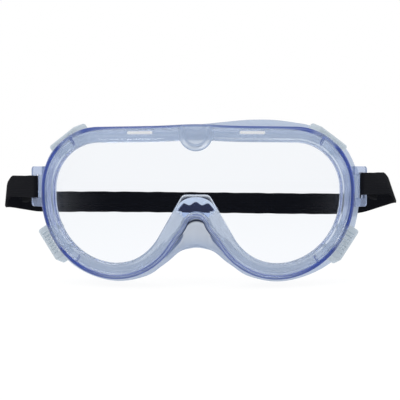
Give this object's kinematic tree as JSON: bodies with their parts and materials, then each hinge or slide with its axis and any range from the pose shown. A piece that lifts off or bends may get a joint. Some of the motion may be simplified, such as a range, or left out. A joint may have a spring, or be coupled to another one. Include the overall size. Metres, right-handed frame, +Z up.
{
  "type": "safety goggles",
  "caption": "Soft-framed chemical-splash safety goggles with a curved clear lens, indirect vent caps, swivelling strap clips and an elastic headband.",
  "frame": {"origin": "middle of the rim's front face, on the symmetry plane", "axes": "+Z up, +Y from the lens towards the wearer, +X to the right of someone looking at the lens"},
  "size_m": [0.2354, 0.0871, 0.0911],
  "materials": {
    "frame_pvc": "soft translucent pale blue PVC",
    "lens_clear": "clear polished polycarbonate",
    "vent_cap": "milky translucent polyethylene",
    "clip_clear": "clear hard plastic",
    "elastic": "black ribbed woven elastic"
  },
  "bodies": {
    "goggle_body": {"frame": "frame_pvc", "lens": "lens_clear", "vent_cap_upper_left": "vent_cap", "vent_cap_upper_right": "vent_cap", "vent_cap_lower_left": "vent_cap", "vent_cap_lower_right": "vent_cap"},
    "clip_left": {"strap_clip_left": "clip_clear"},
    "clip_right": {"strap_clip_right": "clip_clear"},
    "band": {"headband": "elastic"}
  },
  "joints": [
    {"name": "clip_left_swivel", "type": "hinge", "parent": "goggle_body", "child": "clip_left", "pos_m": [-0.089, 0.042, 0.0084], "axis": [0, 0, -1], "range_deg": [-60, 20]},
    {"name": "clip_right_swivel", "type": "hinge", "parent": "goggle_body", "child": "clip_right", "pos_m": [0.089, 0.042, 0.0084], "axis": [0, 0, 1], "range_deg": [-60, 20]},
    {"name": "headband_stretch", "type": "slide", "parent": "goggle_body", "child": "band", "axis": [0, 1, 0], "range_m": [0, 0.06], "deforming": ["headband"]}
  ]
}
